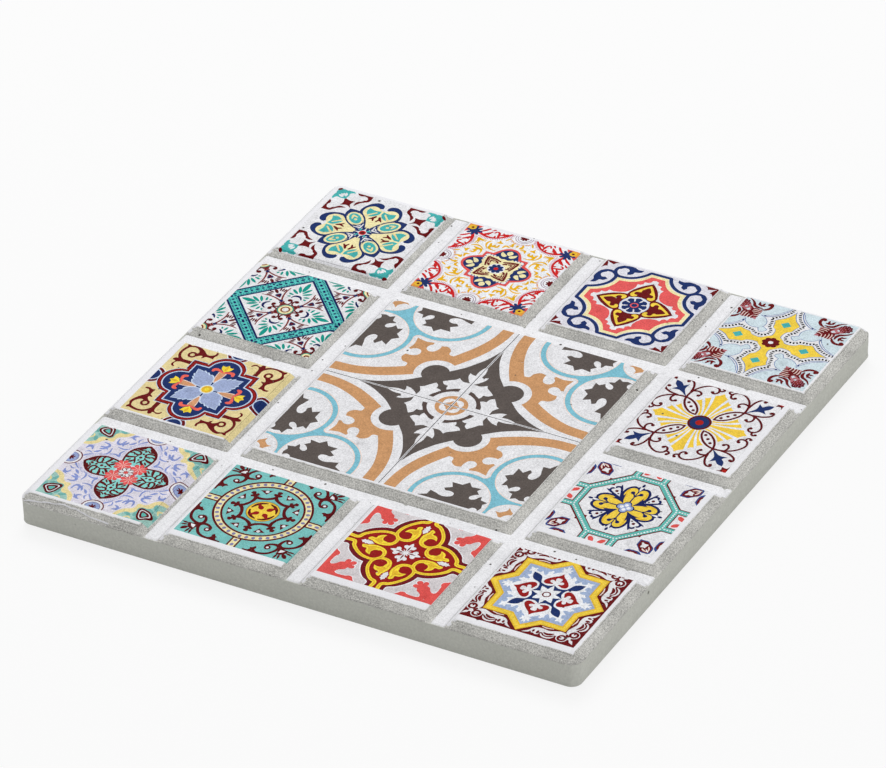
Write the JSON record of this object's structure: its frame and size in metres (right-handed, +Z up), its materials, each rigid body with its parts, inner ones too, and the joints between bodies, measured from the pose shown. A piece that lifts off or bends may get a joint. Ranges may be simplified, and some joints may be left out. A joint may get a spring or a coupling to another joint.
{
  "type": "trivet",
  "caption": "Square cement trivet with a patchwork of raised, bevelled tiles in traditional printed patterns around one larger tile.",
  "frame": {"origin": "centre of the plane the pads stand on", "axes": "+X to the right and +Y to the back of the pictured view, +Z up"},
  "size_m": [0.2, 0.2, 0.012],
  "materials": {
    "cement_slab": "smooth cast cement, matt",
    "cement_tile": "rough sandy cement, matt",
    "white_coat": "fine grained white coat, matt",
    "pad_foam": "matt foam rubber",
    "print_centre": "matt print on a white coat",
    "print_front_left": "matt print on a white coat",
    "print_front_mid_left": "matt print on a white coat",
    "print_front_mid_right": "matt print on a white coat",
    "print_front_right": "matt print on a white coat",
    "print_right_mid_front": "matt print on a white coat",
    "print_right_mid_back": "matt print on a white coat",
    "print_back_right": "matt print on a white coat",
    "print_back_mid_right": "matt print on a white coat",
    "print_back_mid_left": "matt print on a white coat",
    "print_back_left": "matt print on a white coat",
    "print_left_mid_back": "matt print on a white coat",
    "print_left_mid_front": "matt print on a white coat"
  },
  "bodies": {
    "root": {"base_slab": "cement_slab", "joint_lattice": "white_coat", "tile_centre": "cement_tile", "tile_front_left": "cement_tile", "tile_front_mid_left": "cement_tile", "tile_front_mid_right": "cement_tile", "tile_front_right": "cement_tile", "tile_right_mid_front": "cement_tile", "tile_right_mid_back": "cement_tile", "tile_back_right": "cement_tile", "tile_back_mid_right": "cement_tile", "tile_back_mid_left": "cement_tile", "tile_back_left": "cement_tile", "tile_left_mid_back": "cement_tile", "tile_left_mid_front": "cement_tile", "print_centre": "print_centre", "print_front_left": "print_front_left", "print_front_mid_left": "print_front_mid_left", "print_front_mid_right": "print_front_mid_right", "print_front_right": "print_front_right", "print_right_mid_front": "print_right_mid_front", "print_right_mid_back": "print_right_mid_back", "print_back_right": "print_back_right", "print_back_mid_right": "print_back_mid_right", "print_back_mid_left": "print_back_mid_left", "print_back_left": "print_back_left", "print_left_mid_back": "print_left_mid_back", "print_left_mid_front": "print_left_mid_front", "foot_pads": "pad_foam"}
  },
  "joints": []
}
